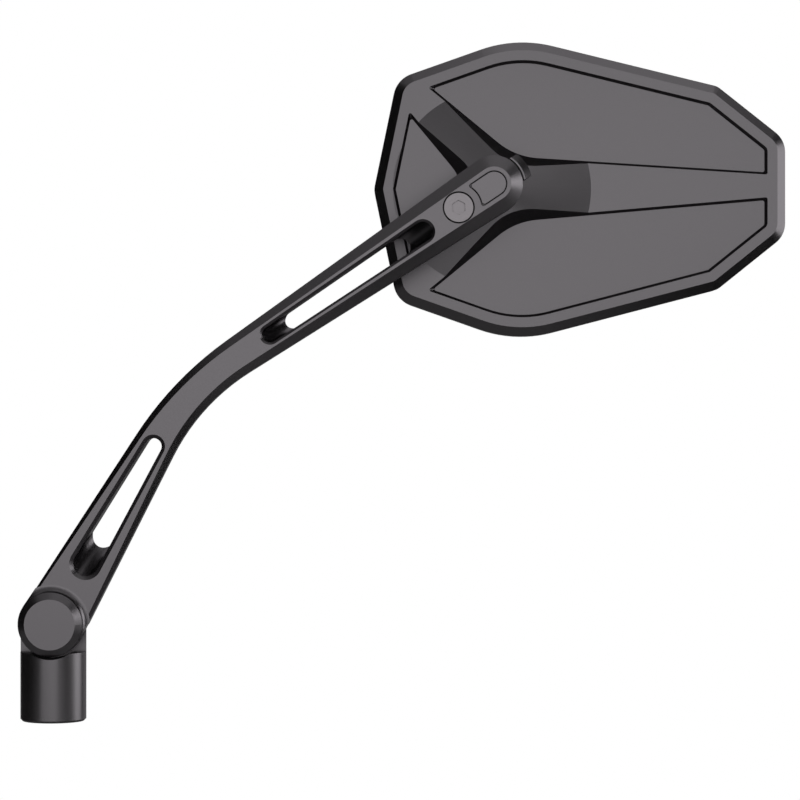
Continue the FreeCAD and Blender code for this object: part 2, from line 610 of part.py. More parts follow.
def make_base_post():
    post = turned("post_blank", [
        ("mount_mouth_radius", "0"), ("base_foot", "0"), ("base_radius", "base_edge"),
        ("base_radius", "base_top"), ("0", "base_top"), ("0", "bore_end"),
        ("mount_bore", "mount_depth"), ("mount_bore", "mount_mouth"),
    ], turn=Rotation())
    lower = box("lug_foot", "base_span", "base_span", "pivot_height", "base_side", "base_side", "0")
    dome = cylinder("lug_dome", "base_radius", "base_span", "0", "base_side", "pivot_height",
                    AWAY_FROM_VIEWER)
    blank = common("lug_blank", post, fuse("lug_outline", lower, dome))
    front = box("front_cut", "base_span", "base_radius + spare", "base_top", "base_side", "base_side",
                "ledge_height")
    ledge_pocket = cylinder("ledge_pocket", "boss_pocket_radius", "base_radius + spare", "0", "0",
                            "pivot_height")
    rear = box("rear_cut", "base_span", "base_radius + spare", "base_top", "base_side", "lug_thickness",
               "shelf_height")
    counterbore = cylinder("lug_counterbore", "counterbore_radius", "base_radius", "0", "lug_thickness",
                           "pivot_height", AWAY_FROM_VIEWER)
    hole = cylinder("lug_hole", "pivot_hole", "base_span", "0", "base_side", "pivot_height", AWAY_FROM_VIEWER)
    return cut("base_post", blank, front, ledge_pocket, rear, counterbore, hole)


# Pivot hardware, turned about the pivot's axis


def make_pivot_pieces():
    hole = "pivot_screw_radius + washer_clearance"
    friction = turned("friction_washer", [
        (hole, "0"), ("friction_washer_radius", "0"),
        ("friction_washer_radius", "friction_washer_thickness"), (hole, "friction_washer_thickness"),
    ], z="pivot_height")
    spring = turned("spring_washer", [
        (hole, "spring_washer_rise"), ("spring_washer_radius", "0"),
        ("spring_washer_radius", "spring_washer_thickness"),
        (hole, "spring_washer_thickness + spring_washer_rise"),
    ], "0", "lug_thickness", "pivot_height", AWAY_FROM_VIEWER)
    blank = turned("pivot_screw_blank", [
        ("0", "-pivot_head_height"), ("pivot_head_radius", "-pivot_head_height"), ("pivot_head_radius", "0"),
        ("pivot_screw_radius", "0"), ("pivot_screw_radius", "pivot_shank"), ("0", "pivot_shank"),
    ], "0", "pivot_head_seat + sliding_gap", "pivot_height")
    socket = place(hexagon("pivot_socket_cut", "pivot_socket", "pivot_socket_depth + spare"), "0",
                   "pivot_head_seat + sliding_gap + pivot_head_height + spare", "pivot_height",
                   TOWARDS_VIEWER)
    return friction, spring, cut("pivot_screw", blank, socket)


# Arm: a bent bar with a chamfer that widens towards the ball, two slots and a boss


def make_arm_blank():
    outer = arm_sketch("arm_outer", "arm_edge_y", "foot_radius", "elbow_half_width",
                       "elbow_outer_radius", "elbow_inner_radius", "tip_radius")
    flat = arm_sketch("arm_flat", "-arm_front", "foot_flat", "elbow_flat",
                      "elbow_outer_flat", "elbow_inner_flat", "tip_flat")
    side = extrude("arm_side", outer, back="arm_wall")
    edge = doc.addObject("Part::Loft", "arm_edge")
    edge.Sections = [outer, flat]
    edge.Ruled = True
    edge.Solid = True
    half = fuse("arm_half", side, edge)
    blank = fuse("arm_blank", half, mirrored("arm_rear_half", half))
    return outer, blank


def mirrored(name, source):
    """The same shape on the other side of the arm's middle plane."""
    copy = doc.addObject("Part::Mirroring", name)
    copy.Source = source
    copy.Normal = Vector(0, 1, 0)
    copy.Base = Vector(0, amount("arm_middle"), 0)
    return bind(copy, **{"Base.y": "arm_middle"})


def make_boss(outer):
    """The round boss on the pivot, with a hollow fillet that stays inside the arm's outline."""
    disc = turned("boss_disc", [
        ("0", "boss_root"), ("boss_radius", "boss_root"), ("boss_radius", "boss_edge_foot"),
        ("boss_flat", "boss_front"), ("0", "boss_front"),
    ], z="pivot_height")
    ring = cylinder("cove_ring", "cove_radius", "cove_top - boss_root", "0", "-boss_root", "pivot_height")
    hollow = bind(doc.addObject("Part::Torus", "cove_hollow"), Radius1="cove_radius", Radius2="cove_tube")
    place(hollow, "0", "-arm_front - cove_tube", "pivot_height", TOWARDS_VIEWER)
    outline = extrude("arm_outline_front", outer, forward="boss_front")
    return fuse("boss", disc, common("boss_cove_solid", cut("cove", ring, hollow), outline))


def ramp_space(name, frame, radius, length):
    """The space above a hollow floor that slopes down along x from the slot's end."""
    drop = amount("arm_thickness - ramp_wall")
    slope = math.atan2(drop, amount(length))
    trough = amount(radius + " + ramp_spread")
    lead = amount(length) * RAMP_LEAD
    axis = Vector(trough * math.sin(slope), 0, trough * math.cos(slope) - amount("ramp_wall"))
    axis -= Vector(math.cos(slope), 0, -math.sin(slope)) * lead
    tilt = Placement(axis, Rotation(Vector(0, 1, 0), 90 + math.degrees(slope)))
    round_floor = bind(doc.addObject("Part::Cylinder", name + "_trough"), Radius=radius + " + ramp_spread",
                       Height=f"{RAMP_REACH} * {length}")
    round_floor.Placement = frame * tilt
    above = bind(doc.addObject("Part::Box", name + "_above"), Length=f"{RAMP_REACH} * {length}",
                 Width="4 * foot_radius", Height=f"{RAMP_REACH} * {length}")
    corner = Vector(-amount(length) * RAMP_REACH, -2 * amount("foot_radius"), 0)
    above.Placement = frame * tilt * Placement(corner, Rotation())
    return fuse(name, round_floor, above)


def slot_cutter(name, frame, far_ramp):
    """A slot with chamfered edges, whose floor rises at its first end, and at its second with far_ramp."""
    start, end, edge, ramp = f"{name}_start", f"{name}_end", f"{name}_edge", f"{name}_ramp"
    start_radius, end_radius = f"{start}_radius", f"{end}_radius"
    outline = slot_sketch(name + "_outline", frame, start, start_radius, end, end_radius)
    through = extrude(name + "_through", outline, forward="spare", back="arm_thickness + spare")
    near = Placement(Vector(amount(start + " - " + start_radius), 0, 0), Rotation())
    spaces = [through, ramp_space(name + "_near_ramp", frame * near, start_radius, ramp)]
    if far_ramp:
        far = Placement(Vector(amount(end + " + " + end_radius), 0, 0), Rotation(Vector(0, 0, 1), 180))
        spaces.append(ramp_space(name + "_far_ramp", frame * far, end_radius, ramp))
    channel = common(name + "_channel", *spaces)
    wide = slot_sketch(name + "_mouth", frame, start, start_radius + " + " + edge,
                       end, end_radius + " + " + edge)
    bevel = extrude(name + "_bevel", wide, back=edge, rear_taper="-45")
    return fuse(name + "_cutter", channel, bevel)


def make_arm(outer, blank, upper):
    lower = along_arm(pivot_place, elbow_place, -amount("arm_front"))
    solid = fuse("arm_solid", blank, make_boss(outer))
    nest = cylinder("lug_nest", "nest_radius", "arm_thickness", "0", "boss_back", "pivot_height",
                    AWAY_FROM_VIEWER)
    thread = cylinder("boss_thread", "pivot_tap", "pivot_grip + 2 * spare", "0", "boss_back + spare",
                      "pivot_height")
    socket = ball_socket("arm_socket")
    screw_place = upper * Placement(Vector(amount("clamp_screw_place"), 0, 0), Rotation())
    counterbore = bind(doc.addObject("Part::Cylinder", "clamp_counterbore_cut"), Radius="clamp_counterbore",
                       Height="clamp_head_height + spare")
    counterbore.Placement = screw_place * Placement(Vector(0, 0, -amount("clamp_head_height")), Rotation())
    hole = bind(doc.addObject("Part::Cylinder", "clamp_hole_cut"), Radius="clamp_hole",
                Height="arm_thickness + 2 * spare")
    hole.Placement = screw_place * Placement(Vector(0, 0, -amount("arm_thickness + spare")), Rotation())
    recess = inlay_shape("inlay_recess", upper, "inlay_recess_radius", "inlay_recess_hollow")
    return cut("arm", solid, nest, thread, socket, counterbore, hole, recess,
               clamp_space("clamp_cut", upper, "clamp_front", "clamp_cut_length"),
               slot_cutter("lower_slot", lower, far_ramp=False),
               slot_cutter("upper_slot", upper, far_ramp=True))


def inlay_shape(name, upper, radius, hollow):
    """A round end about the ball's axis and a hollow end about the clamp screw."""
    outline = slot_sketch(name + "_outline", upper, "0", radius, "clamp_screw_place", radius)
    slab = extrude(name + "_slab", outline, back="inlay_thickness")
    scoop = bind(doc.addObject("Part::Cylinder", name + "_scoop"), Radius=hollow,
                 Height="2 * inlay_thickness")
    middle = Vector(amount("clamp_screw_place"), 0, -1.5 * amount("inlay_thickness"))
    scoop.Placement = upper * Placement(middle, Rotation())
    return rounded_corners(name, cut(name + "_plate", slab, scoop), "inlay_corner")


def rounded_corners(name, plate, radius):
    """Round the sharp edges that run from a plate's front to its back."""
    rounded = doc.addObject("Part::Fillet", name)
    rounded.Base = plate
    doc.recompute()
    depth = depth_of(plate.Shape)
    corners = []
    for index, edge in enumerate(plate.Shape.Edges, start=1):
        if abs(depth_of(edge) - depth) < TOUCH and is_sharp(edge, plate.Shape):
            corners.append((index, amount(radius), amount(radius)))
    rounded.Edges = corners
    return rounded


def depth_of(shape):
    """How far a shape's corners reach from front to back."""
    places = [vertex.Y for vertex in shape.Vertexes]
    return max(places) - min(places)


def is_sharp(edge, shape):
    """Whether the two faces along an edge meet at an angle."""
    middle = edge.valueAt((edge.FirstParameter + edge.LastParameter) / 2)
    faces = shape.ancestorsOfType(edge, Part.Face)
    normals = [face.normalAt(*face.Surface.parameter(middle)) for face in faces]
    return len(normals) == 2 and normals[0].getAngle(normals[1]) > SHARP


def clamp_space(name, upper, front, length):
    """A block behind the arm's end, from a depth behind the lug's flat to past the arm's back."""
    block = bind(doc.addObject("Part::Box", name), Length=f"{length} + 2 * lip_outer_radius",
                 Width="4 * tip_radius", Height="arm_thickness")
    corner = Vector(-2 * amount("lip_outer_radius"), -2 * amount("tip_radius"),
                    -amount("arm_front + arm_thickness + " + front))
    block.Placement = upper * Placement(corner, Rotation())
    return block


def ball_socket(name):
    """Room for the ball's seat: a turned hollow with sloping faces."""
    return turned(name, [
        ("0", "-socket_radius"), ("socket_corner", "-socket_radius"), ("socket_radius", "-socket_corner"),
        ("socket_radius", "socket_corner"), ("socket_corner", "socket_radius"), ("0", "socket_radius"),
    ], "head_x", "ball_back", "head_z")


# Clamp: a plate that continues the arm's back, hooked round the arm's end by its lip


def make_clamp_plate(blank, upper):
    plate = common("clamp_back", blank, clamp_space("clamp_block", upper, "clamp_seat", "clamp_length"))
    strip = bind(doc.addObject("Part::Box", "lip_strip"), Length="2 * lip_outer_radius", Width="lip_width",
                 Height="2 * cut_length")
    corner = Vector(-2 * amount("lip_outer_radius"), -amount("lip_width") / 2, -amount("cut_length"))
    strip.Placement = upper * Placement(corner, Rotation())
    round_end = turned("lip_round", [
        ("0", "lip_root"), ("lip_outer_radius", "lip_root"), ("lip_outer_radius", "-lip_slope"),
        ("lip_edge_radius", "0"), ("0", "0"),
    ], "head_x", "lip_front", "head_z")
    hollow = cylinder("lip_hollow", "lip_inner_radius", "cut_length", "head_x", "clamp_seat", "head_z")
    lip = cut("lip", common("lip_blank", round_end, strip), hollow)
    socket = ball_socket("plate_socket")
    thread = bind(doc.addObject("Part::Cylinder", "plate_thread"), Radius="clamp_tap",
                  Height="2 * cut_length")
    middle = Vector(amount("clamp_screw_place"), 0, -amount("cut_length"))
    thread.Placement = upper * Placement(middle, Rotation())
    return cut("clamp_plate", fuse("clamp_solid", plate, lip), socket, thread)


def make_clamp_screw(upper):
    blank = turned("clamp_screw_blank", [
        ("0", "-clamp_head_height - clamp_shank"), ("clamp_screw_radius", "-clamp_head_height - clamp_shank"),
        ("clamp_screw_radius", "-clamp_head_height"), ("clamp_head_radius", "-clamp_head_height"),
        ("clamp_head_radius", "0"), ("0", "0"),
    ])
    frame = upper * Placement(Vector(amount("clamp_screw_place"), 0, 0), Rotation())
    blank.Placement = frame
    socket = hexagon("clamp_socket_cut", "clamp_socket", "clamp_socket_depth + spare")
    socket.Placement = frame * Placement(Vector(0, 0, -amount("clamp_socket_depth")), Rotation())
    return cut("clamp_screw", blank, socket)


# Ball joint, about the ball's axis


def make_ball_pieces():
    inside = "seat_inner + seat_inner_corner"
    outside = "seat_band + seat_band_half"
    seat = turned("ball_seat", [
        ("seat_inner", "-seat_inner_corner"), (inside + " - seat_rear", "-seat_rear"),
        (outside + " - seat_rear", "-seat_rear"), ("seat_band", "-seat_band_half"),
        ("seat_band", "seat_band_half"), (outside + " - seat_front", "seat_front"),
        (inside + " - seat_front", "seat_front"), ("seat_inner", "seat_inner_corner"),
    ], "head_x", "ball_back", "head_z")
    stem = turned("stud_stem", [
        ("0", "0"), ("neck_radius", "0"), ("neck_radius", "neck_length"), ("collar_radius", "neck_length"),
        ("collar_radius", "collar_end"), ("stud_radius", "collar_end"), ("stud_radius", "stem_length"),
        ("0", "stem_length"),
    ], "head_x", "ball_back", "head_z", AWAY_FROM_VIEWER)
    ball = sphere("ball", "ball_radius", "head_x", "ball_back", "head_z")
    front = cylinder("ball_front", "ball_radius", "ball_radius", "head_x", "ball_back - ball_flat", "head_z")
    stud = cut("ball_stud", fuse("stud_blank", stem, ball), front)
    hole = "stud_radius + washer_clearance"
    washer = turned("stud_washer", [
        (hole, "0"), ("stud_washer_radius", "0"), ("stud_washer_radius", "stud_washer_thickness"),
        (hole, "stud_washer_thickness"),
    ], "head_x", "nut_floor", "head_z", AWAY_FROM_VIEWER)
    nut_blank = place(hexagon("stud_nut_blank", "stud_nut_flats", "stud_nut_height"), "head_x",
                      "nut_floor + stud_washer_thickness", "head_z", AWAY_FROM_VIEWER)
    nut_thread = cylinder("stud_nut_thread", "stud_hole", "2 * nut_stack", "head_x", "nut_floor", "head_z",
                          AWAY_FROM_VIEWER)
    return seat, stud, washer, cut("stud_nut", nut_blank, nut_thread)


# Head: a milled housing with three pockets round a raised spider, and the glass behind it


def head_prism(name, depth, inset=None, **lengths):
    """A prism on the housing's outline, or on the outline drawn in by an inset."""
    base = head_sketch(name + "_outline", depth)
    if inset:
        narrowed = doc.addObject("Part::Offset2D", name + "_inset")
        narrowed.Source = base
        base = bind(narrowed, Value="-" + inset)
    return extrude(name, base, **lengths)


def make_head_housing():
    plate = head_prism("head_plate", "head_edge_y", forward="head_edge_depth", back="head_side",
                       taper="-atan(head_edge / head_edge_depth)")
    cone = bind(doc.addObject("Part::Cone", "hub_cone"), Radius1="cone_radius", Radius2="hub_radius",
                Height="cone_rise")
    place(cone, "head_x", "rim_y", "head_z", TOWARDS_VIEWER)
    recess = head_prism("glass_space", "head_back", "glass_lip", forward="glass_recess", back="spare")
    nut_pocket = cylinder("nut_pocket", "nut_pocket_radius", "nut_pocket_depth", "head_x", "nut_floor",
                          "head_z", AWAY_FROM_VIEWER)
    hole = cylinder("hub_hole", "stud_hole", "head_depth + cone_rise", "head_x", "hub_back - spare", "head_z",
                    AWAY_FROM_VIEWER)
    return cut("head_housing", fuse("head_solid", plate, cone), *make_pockets(), recess, nut_pocket, hole)


def make_pockets():
    """Cutters for the three pockets between the legs: rounded corners below the rim, sharp above it."""
    walls = {"forward": "pocket_reach", "taper": "pocket_draft"}
    basin = head_prism("pocket_basin", "pocket_floor", "pocket_inset", **walls)
    spaces = []
    for side, corners in leg_edges().items():
        sketch = place(new_sketch(side + "_leg_edges"), "head_x", "pocket_floor", "head_z", TOWARDS_VIEWER)
        spaces.append(extrude(side + "_leg_space", rounded_sketch(sketch, corners), **walls))
    pockets = common("sharp_pockets", basin, fuse("leg_spaces", *spaces))
    low = box("pocket_low_space", "4 * nose_x", "head_depth", "4 * peak_z", "head_x - nose_x - nose_x",
              "pocket_split", "head_z - peak_z - peak_z")
    floors = rounded_corners("pocket_floors", common("sharp_floors", pockets, low), "pocket_corner")
    return floors, cut("pocket_tops", pockets, low)


def make_glass():
    pad = head_prism("glass_pad", "recess_floor", "pad_inset", back="pad_thickness")
    slab = head_prism("glass_slab", "glass_front", "pad_inset", back="glass_middle")
    curve = sphere("glass_curve_ball", "glass_curve", "glass_x", "glass_centre", "head_z")
    return pad, common("mirror_glass", slab, curve)


def save(pieces):
    """Check every object and every piece, then write the pieces."""
    doc.recompute()
    for thing in doc.Objects:
        if any(state in ("Invalid", "Error") for state in thing.State):
            raise ValueError(f"{thing.Name}: {thing.State}")
    for piece in pieces:
        if piece.Shape.isNull() or not piece.Shape.isValid() or not piece.Shape.Solids:
            raise ValueError(f"{piece.Name}: no valid solid")
    os.makedirs("parts", exist_ok=True)
    for piece in pieces:
        piece.Label = piece.Name
        piece.Shape.exportStep(f"parts/{piece.Label}.step")
        print(piece.Label, len(piece.Shape.Solids), round(piece.Shape.Volume, 1))


upper_frame = along_arm(ball_place, elbow_place, -amount("arm_front"))
outer_outline, arm_bar = make_arm_blank()
save([
    make_base_post(),
    *make_pivot_pieces(),
    make_arm(outer_outline, arm_bar, upper_frame),
    inlay_shape("end_inlay", upper_frame, "inlay_radius", "inlay_hollow"),
    make_clamp_plate(arm_bar, upper_frame),
    make_clamp_screw(upper_frame),
    *make_ball_pieces(),
    make_head_housing(),
    *make_glass(),
])
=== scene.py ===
"""Handlebar mirror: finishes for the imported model, the foot's thread, studio and camera."""
import math

import bmesh
import bpy
from mathutils import Matrix, Vector


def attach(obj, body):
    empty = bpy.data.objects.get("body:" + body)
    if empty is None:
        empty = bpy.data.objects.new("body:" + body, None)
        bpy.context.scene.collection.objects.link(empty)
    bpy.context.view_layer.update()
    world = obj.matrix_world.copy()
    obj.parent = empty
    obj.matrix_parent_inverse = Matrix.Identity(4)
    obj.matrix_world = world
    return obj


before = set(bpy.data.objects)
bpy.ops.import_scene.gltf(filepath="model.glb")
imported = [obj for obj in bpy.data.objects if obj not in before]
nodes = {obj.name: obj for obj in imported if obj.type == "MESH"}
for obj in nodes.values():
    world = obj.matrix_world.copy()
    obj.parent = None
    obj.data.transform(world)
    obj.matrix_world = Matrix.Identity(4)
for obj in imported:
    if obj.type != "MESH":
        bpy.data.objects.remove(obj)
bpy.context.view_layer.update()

scene = bpy.context.scene

MM = 0.001
WHITE = (1, 1, 1, 1)


# Helpers

def set_inputs(tree, node, values):
    """Set or link a node's inputs, by name or number."""
    for key, value in values.items():
        if isinstance(value, bpy.types.NodeSocket):
            tree.links.new(value, node.inputs[key])
        else:
            node.inputs[key].default_value = value


def put(tree, kind, values=None, **settings):
    """Add a node with these properties and inputs."""
    node = tree.nodes.new(kind)
    for name, value in settings.items():
        setattr(node, name, value)
    set_inputs(tree, node, values or {})
    return node


def math_node(tree, operation, first, second=0.0):
    return put(tree, "ShaderNodeMath", {0: first, 1: second}, operation=operation).outputs[0]


def spread(tree, value, low, high):
    """Turn a value between 0 and 1 into one between low and high."""
    return put(tree, "ShaderNodeMapRange", {
        "Value": value, "To Min": low, "To Max": high}).outputs["Result"]


def object_place(tree):
    """The place on the piece, which stays with it at any pose."""
    return put(tree, "ShaderNodeTexCoord").outputs["Object"]


def shader_group(name, inputs, outputs):
    """An empty node group with named inputs and outputs."""
    group = bpy.data.node_groups.new(name, "ShaderNodeTree")
    for title, kind, value in inputs:
        socket = group.interface.new_socket(name=title, in_out="INPUT", socket_type=kind)
        socket.default_value = value
    for title, kind in outputs:
        group.interface.new_socket(name=title, in_out="OUTPUT", socket_type=kind)
    return group, put(group, "NodeGroupInput").outputs, put(group, "NodeGroupOutput").inputs


def mesh_object(name, bm, material):
    """Turn a bmesh into an object at the origin, with one material."""
    mesh = bpy.data.meshes.new(name)
    bm.to_mesh(mesh)
    bm.free()
    mesh.materials.append(material)
    made = bpy.data.objects.new(name, mesh)
    scene.collection.objects.link(made)
    return made


# Effects that several finishes share

def make_blasted_grain():
    """Fine blasting: tiny pits, a slight change of tone and gloss, and a wide faint mottle."""
    group, given, result = shader_group(
        "blasted_grain",
        (("Colour", "NodeSocketColor", (0.15, 0.15, 0.15, 1)),
         ("Roughness", "NodeSocketFloat", 0.3),
         ("Grain Scale", "NodeSocketFloat", 4000.0),
         ("Grain", "NodeSocketFloat", 0.1),
         ("Mottle", "NodeSocketFloat", 0.05)),
        (("Colour", "NodeSocketColor"),
         ("Roughness", "NodeSocketFloat"),
         ("Height", "NodeSocketFloat")))
    place = object_place(group)
    fine = put(group, "ShaderNodeTexNoise", {
        "Vector": place, "Scale": given["Grain Scale"], "Detail": 3.0,
        "Roughness": 0.6}).outputs["Fac"]
    wide = put(group, "ShaderNodeTexNoise", {
        "Vector": place, "Scale": 45.0, "Detail": 4.0, "Roughness": 0.55}).outputs["Fac"]
    fine_part = math_node(group, "MULTIPLY", spread(group, fine, -1.0, 1.0), given["Grain"])
    wide_part = math_node(group, "MULTIPLY", spread(group, wide, -1.0, 1.0), given["Mottle"])
    tone = math_node(group, "ADD", math_node(group, "ADD", fine_part, wide_part), 1.0)
    tinted = put(group, "ShaderNodeVectorMath", {0: given["Colour"], "Scale": tone},
                 operation="SCALE")
    group.links.new(tinted.outputs["Vector"], result["Colour"])
    # The mottle changes the gloss half as much again as the tone
    gloss = math_node(group, "ADD", math_node(group, "MULTIPLY", wide_part, 1.5), 1.0)
    group.links.new(math_node(group, "MULTIPLY", given["Roughness"], gloss), result["Roughness"])
    group.links.new(fine, result["Height"])
    return group


def make_turning_marks():
    """Lathe marks: fine rings about the vector's Z axis, on the ends and along the sides."""
    group, given, result = shader_group(
        "turning_marks",
        (("Vector", "NodeSocketVector", (0, 0, 0)), ("Pitch", "NodeSocketFloat", 0.2 * MM)),
        (("Mask", "NodeSocketFloat"),))
    parts = put(group, "ShaderNodeSeparateXYZ", {"Vector": given["Vector"]}).outputs
    radius = math_node(group, "SQRT", math_node(
        group, "ADD", math_node(group, "MULTIPLY", parts["X"], parts["X"]),
        math_node(group, "MULTIPLY", parts["Y"], parts["Y"])))
    along = math_node(group, "DIVIDE", math_node(group, "ADD", radius, parts["Z"]), given["Pitch"])
    marks = put(group, "ShaderNodeTexNoise", {"W": along, "Scale": 1.0, "Detail": 2.0},
                noise_dimensions="1D")
    group.links.new(marks.outputs["Fac"], result["Mask"])
    return group


def make_crevice_shade():
    """Painted shade: darkens the colour in narrow gaps and deep inner corners, where little light
    reaches.
    """
    group, given, result = shader_group(
        "crevice_shade",
        (("Colour", "NodeSocketColor", (0.15, 0.15, 0.15, 1)),
         ("Reach", "NodeSocketFloat", 1.2 * MM),
         ("Depth", "NodeSocketFloat", 1.0)),
        (("Colour", "NodeSocketColor"),))
    open_sky = put(group, "ShaderNodeAmbientOcclusion", {"Distance": given["Reach"]},
                   samples=12).outputs["AO"]
    hidden = put(group, "ShaderNodeMapRange", {
        "Value": open_sky, "From Min": 0.25, "From Max": 0.5,
        "To Min": 1.0, "To Max": 0.0}).outputs["Result"]
    share = math_node(group, "SUBTRACT", 1.0,
                      math_node(group, "MULTIPLY", hidden, given["Depth"]))
    shaded = put(group, "ShaderNodeVectorMath", {0: given["Colour"], "Scale": share},
                 operation="SCALE")
    group.links.new(shaded.outputs["Vector"], result["Colour"])
    return group


blasted_grain = make_blasted_grain()
crevice_shade = make_crevice_shade()
turning_marks = make_turning_marks()


# Finishes

METAL_GRAIN_SCALE = 4200.0
METAL_PIT = 0.02 * MM
METAL_RELIEF = 0.05
MOULDED_GRAIN = 0.05 * MM
GROUND_EDGE = (0.30, 0.38, 0.36, 1)
SILVER = (0.80, 0.83, 0.86, 1)


def new_finish(name):
    material = bpy.data.materials.new(name)
    material.use_nodes = True
    tree = material.node_tree
    return material, tree, tree.nodes["Principled BSDF"]


def place_grain(tree, colour, roughness, scale, grain, mottle):
    """The blasted grain with one finish's own values."""
    return put(tree, "ShaderNodeGroup", {
        "Colour": (*colour, 1), "Roughness": roughness, "Grain Scale": scale,
        "Grain": grain, "Mottle": mottle}, node_tree=blasted_grain).outputs


def satin_metal(name, colour, roughness, grain=0.05, mottle=0.04, turned=None, edge=0.15):
    """Blasted metal. Edge is its gloss at a low angle.

    With turned, the place and turn of a lathe's axis, it has lathe marks too.
    """
    material, tree, surface = new_finish(name)
    blasted = place_grain(tree, colour, roughness, METAL_GRAIN_SCALE, grain, mottle)
    height = blasted["Height"]
    if turned:
        centre, turn = turned
        local = put(tree, "ShaderNodeMapping", {
            "Vector": object_place(tree), "Location": centre, "Rotation": turn},
            vector_type="TEXTURE")
        marks = put(tree, "ShaderNodeGroup", {"Vector": local.outputs["Vector"]},
                    node_tree=turning_marks)
        height = put(tree, "ShaderNodeMix", {
            "Factor": 0.5, "A": height, "B": marks.outputs["Mask"]}).outputs[0]
    bump = put(tree, "ShaderNodeBump", {
        "Strength": METAL_RELIEF, "Distance": METAL_PIT, "Height": height})
    # Painted shade: the colour is darkened in narrow gaps and deep inner corners
    shaded = put(tree, "ShaderNodeGroup", {"Colour": blasted["Colour"]}, node_tree=crevice_shade)
    set_inputs(tree, surface, {
        "Metallic": 1.0, "Specular Tint": (edge, edge, edge, 1),
        "Base Color": shaded.outputs["Colour"], "Roughness": blasted["Roughness"],
        "Normal": bump.outputs["Normal"]})
    return material


def dull_plastic(name, colour, roughness, grain_scale, relief):
    """Moulded nylon or foam: no metal, with a grain of its own."""
    material, tree, surface = new_finish(name)
    blasted = place_grain(tree, colour, roughness, grain_scale, grain=0.25, mottle=0.08)
    bump = put(tree, "ShaderNodeBump", {
        "Strength": relief, "Distance": MOULDED_GRAIN, "Height": blasted["Height"]})
    set_inputs(tree, surface, {
        "Base Color": blasted["Colour"], "Roughness": blasted["Roughness"],
        "Normal": bump.outputs["Normal"]})
    return material


def mirror_finish(name):
    """Silvered glass: a bright reflecting face, and a ground grey green edge."""
    material, tree, surface = new_finish(name)
    facing = put(tree, "ShaderNodeSeparateXYZ", {
        "Vector": put(tree, "ShaderNodeTexCoord").outputs["Normal"]}).outputs["Y"]
    face = put(tree, "ShaderNodeMapRange", {
        "Value": math_node(tree, "ABSOLUTE", facing),
        "From Min": 0.90, "From Max": 0.99}).outputs["Result"]
    haze = put(tree, "ShaderNodeTexNoise", {
        "Vector": object_place(tree), "Scale": 60.0, "Detail": 5.0}).outputs["Fac"]
    colour = put(tree, "ShaderNodeMix", {"Factor": face, "A": GROUND_EDGE, "B": SILVER},
                 data_type="RGBA")
    rough = put(tree, "ShaderNodeMix", {
        "Factor": face, "A": 0.45, "B": spread(tree, haze, 0.015, 0.04)})
    set_inputs(tree, surface, {
        "Base Color": colour.outputs["Result"], "Metallic": face, "Roughness": rough.outputs[0]})
    return material


UPRIGHT = ((0, 0, 0), (0, 0, 0))


def turned_about_y(x, z):
    """A lathe axis along Y, for what is turned about the viewing direction."""
    return (x, 0, z), (math.radians(90), 0, 0)


PIVOT_AXIS = turned_about_y(0, 0.0306)
CLAMP_SCREW_AXIS = turned_about_y(0.1265, 0.1598)
BALL_AXIS = turned_about_y(0.1375, 0.1672)
ANODISED = (0.155, 0.147, 0.155)
ZINC = (0.55, 0.55, 0.57)

post_black = satin_metal("post_black", ANODISED, 0.32, turned=UPRIGHT, edge=0.4)
arm_black = satin_metal("arm_black", (0.162, 0.153, 0.162), 0.33)
housing_black = satin_metal("housing_black", (0.154, 0.146, 0.154), 0.33)
plate_black = satin_metal("plate_black", ANODISED, 0.33)
inlay_black = satin_metal("inlay_black", (0.166, 0.157, 0.166), 0.32)
screw_black = satin_metal("screw_black", (0.247, 0.231, 0.243), 0.34, grain=0.06,
                          turned=CLAMP_SCREW_AXIS)
pivot_black = satin_metal("pivot_black", (0.17, 0.167, 0.17), 0.34, turned=PIVOT_AXIS)
zinc_steel = satin_metal("zinc_steel", ZINC, 0.28, grain=0.06, mottle=0.08, edge=1.0)
stud_steel = satin_metal("stud_steel", ZINC, 0.22, grain=0.04, turned=BALL_AXIS, edge=1.0)
black_nylon = dull_plastic("black_nylon", (0.045, 0.045, 0.047), 0.5, 1500.0, 0.2)
black_foam = dull_plastic("black_foam", (0.025, 0.025, 0.026), 0.9, 900.0, 0.8)
silvered = mirror_finish("silvered_glass")

FINISHES = {
    "base_post": post_black,
    "friction_washer": black_nylon,
    "spring_washer": zinc_steel,
    "pivot_screw": pivot_black,
    "arm": arm_black,
    "end_inlay": inlay_black,
    "clamp_plate": plate_black,
    "clamp_screw": screw_black,
    "ball_seat": black_nylon,
    "ball_stud": stud_steel,
    "stud_washer": zinc_steel,
    "stud_nut": zinc_steel,
    "head_housing": housing_black,
    "glass_pad": black_foam,
    "mirror_glass": silvered,
}
for name, finish in FINISHES.items():
    slots = nodes[name].material_slots
    for slot in slots:
        slot.material = finish
    if not slots:
        nodes[name].data.materials.append(finish)


# Thread in the base's hole

THREAD_RADIUS = 4.375 * MM
THREAD_PITCH = 1.25 * MM
THREAD_RIDGE = 0.2 * MM
THREAD_SINK = 0.05 * MM
THREAD_START = 1.3 * MM
THREAD_TURNS = 9
STEPS_A_TURN = 40
# Half the ridge's foot as a share of the pitch, and half its crest as a share of that
FOOT_SHARE = 0.35
CREST_SHARE = 0.1


